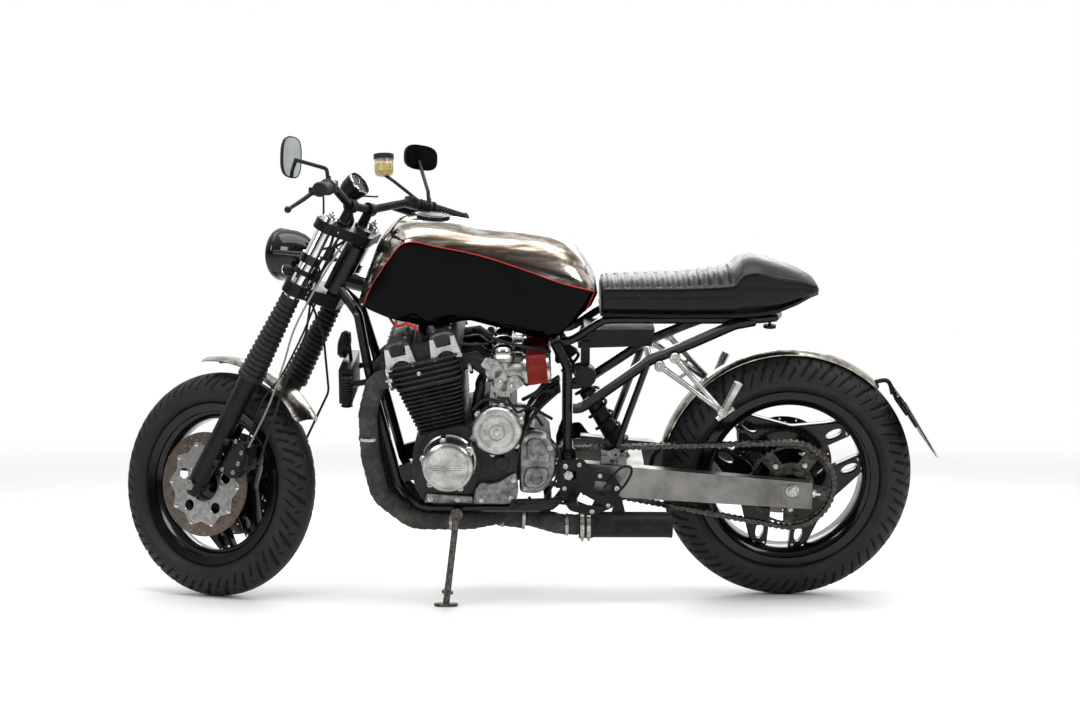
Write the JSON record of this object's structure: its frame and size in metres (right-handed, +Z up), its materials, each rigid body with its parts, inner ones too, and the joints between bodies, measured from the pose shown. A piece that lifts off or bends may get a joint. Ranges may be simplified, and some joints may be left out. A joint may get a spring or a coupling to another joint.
{
  "type": "cafe racer motorcycle",
  "caption": "Cafe racer motorcycle with an air-cooled in-line engine, low bars and a humped solo seat, parked leaning on its side stand.",
  "frame": {"origin": "centre of the bounding box on the floor plane", "axes": "-X is the way the motorcycle points, +Y is its right-hand side, +Z is up from the floor; it leans to -Y on its side stand"},
  "size_m": [2.1884, 0.7564, 1.2305],
  "materials": {
    "black_gloss": "gloss black paint",
    "black_satin": "satin black paint",
    "black_plastic": "matt black",
    "aluminium": "satin",
    "polished": "mirror polished",
    "chrome": "mirror",
    "bright_steel": "zinc plated",
    "rubber": "matt",
    "tyre_rubber": "matt",
    "black_leather": "satin",
    "exhaust_wrap": "woven glass-fibre wrap",
    "chain_steel": "oiled",
    "disc_steel": "ground",
    "plate": "semi-gloss",
    "clear_plastic": "translucent"
  },
  "bodies": {
    "frame": {"carburettors": "aluminium", "chain": "chain_steel", "crank_cover_left": "aluminium", "crank_cover_right": "aluminium", "crankcase": "aluminium", "cylinder_block": "black_satin", "cylinder_head": "black_satin", "electrics_box": "black_plastic", "exhaust_pipes": "exhaust_wrap", "filler_cap": "black_satin", "footrest_left": "black_satin", "footrest_right": "black_satin", "fuel_tank": "polished", "main_frame": "black_gloss", "number_plate": "plate", "oil_cooler": "black_satin", "pillion_hanger_left": "aluminium", "pillion_hanger_right": "aluminium", "rear_axle": "bright_steel", "rear_caliper": "black_satin", "rear_guard": "polished", "rear_shock": "black_satin", "seat": "black_leather", "seat_pan": "black_satin", "silencer": "black_satin", "sprocket_cover": "aluminium", "subframe": "black_gloss", "swingarm": "aluminium"},
    "steering": {"brake_hoses": "black_plastic", "brake_lever": "black_satin", "brake_reservoir": "clear_plastic", "clutch_lever": "black_satin", "fork_gaiter_left": "rubber", "fork_gaiter_right": "rubber", "fork_lower_clamp": "black_satin", "fork_slider_left": "black_satin", "fork_slider_right": "black_satin", "fork_top_clamp": "black_satin", "fork_tube_left": "chrome", "fork_tube_right": "chrome", "front_axle": "bright_steel", "front_caliper_left": "black_satin", "front_caliper_right": "black_satin", "front_guard": "polished", "grip_left": "rubber", "grip_right": "rubber", "handlebar": "black_satin", "headlamp": "black_gloss", "instrument": "black_satin", "mirror_left": "black_plastic", "mirror_right": "black_plastic"},
    "front_wheel": {"front_disc_left": "disc_steel", "front_disc_right": "disc_steel", "front_tyre": "tyre_rubber", "front_wheel": "black_gloss"},
    "rear_wheel": {"rear_disc": "disc_steel", "rear_sprocket": "bright_steel", "rear_tyre": "tyre_rubber", "rear_wheel": "black_gloss"},
    "side_stand": {"side_stand": "black_satin"}
  },
  "joints": [
    {"name": "steering_turn", "type": "hinge", "parent": "frame", "child": "steering", "pos_m": [-0.78829, 0.12917, 0.27922], "axis": [0.4633, -0.1873, 0.8662], "range_deg": [0, 64]},
    {"name": "front_wheel_spin", "type": "hinge", "parent": "steering", "child": "front_wheel", "pos_m": [-0.8221, 0.14876, 0.30154], "axis": [0.4699, 0.8806, -0.061], "continuous": true},
    {"name": "rear_wheel_spin", "type": "hinge", "parent": "frame", "child": "rear_wheel", "pos_m": [0.70719, 0.1176, 0.33003], "axis": [0.0004, 0.9775, 0.2112], "continuous": true},
    {"name": "side_stand_fold", "type": "hinge", "parent": "frame", "child": "side_stand", "pos_m": [-0.17027, -0.06342, 0.24137], "axis": [0.0017, -0.9989, -0.0466], "range_deg": [0, 90]}
  ]
}
